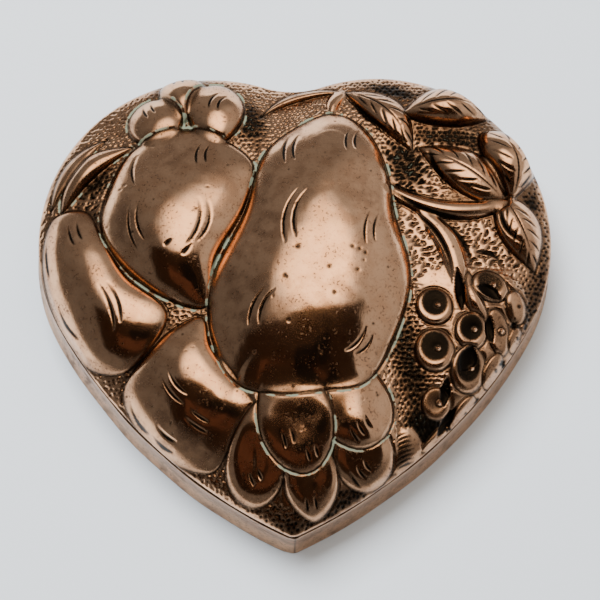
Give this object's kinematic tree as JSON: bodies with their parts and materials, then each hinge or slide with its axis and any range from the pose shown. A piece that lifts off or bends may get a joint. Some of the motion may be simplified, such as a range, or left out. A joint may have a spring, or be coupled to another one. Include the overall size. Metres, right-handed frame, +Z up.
{
  "type": "heart-shaped trinket box",
  "caption": "Heart-shaped copper trinket box: plain soldered base with an inner collar and velvet lining, and a hollow lift-off lid embossed with fruit, leaves and grapes.",
  "frame": {"origin": "centre of the flat underside, at the middle of the foot's box", "axes": "+Z up, the way the lid lifts; the heart's tip points to -Y and its cleft to +Y; +X to the right seen from above with the tip towards the viewer"},
  "size_m": [0.1152, 0.1052, 0.0334],
  "materials": {
    "copper_lid": "polished copper with dark patina and a little verdigris in the chased lines",
    "copper_base": "plain copper, satin, with fine scratches and wiped brown patina",
    "copper_inside": "dull unpolished copper",
    "card": "plain grey-brown lining card",
    "velvet": "short-pile wine-red velvet"
  },
  "bodies": {
    "base": {"base_plate": "copper_inside", "base_wall": "copper_base", "inner_collar": "copper_inside", "lining_card": "card", "lining_velvet": "velvet", "pad_board": "card", "velvet_pad": "velvet"},
    "lid": {"lid_shell": "copper_lid"}
  },
  "joints": [
    {"name": "lid_lift", "type": "slide", "parent": "base", "child": "lid", "axis": [0, 0, 1], "range_m": [0, 0.06]}
  ]
}
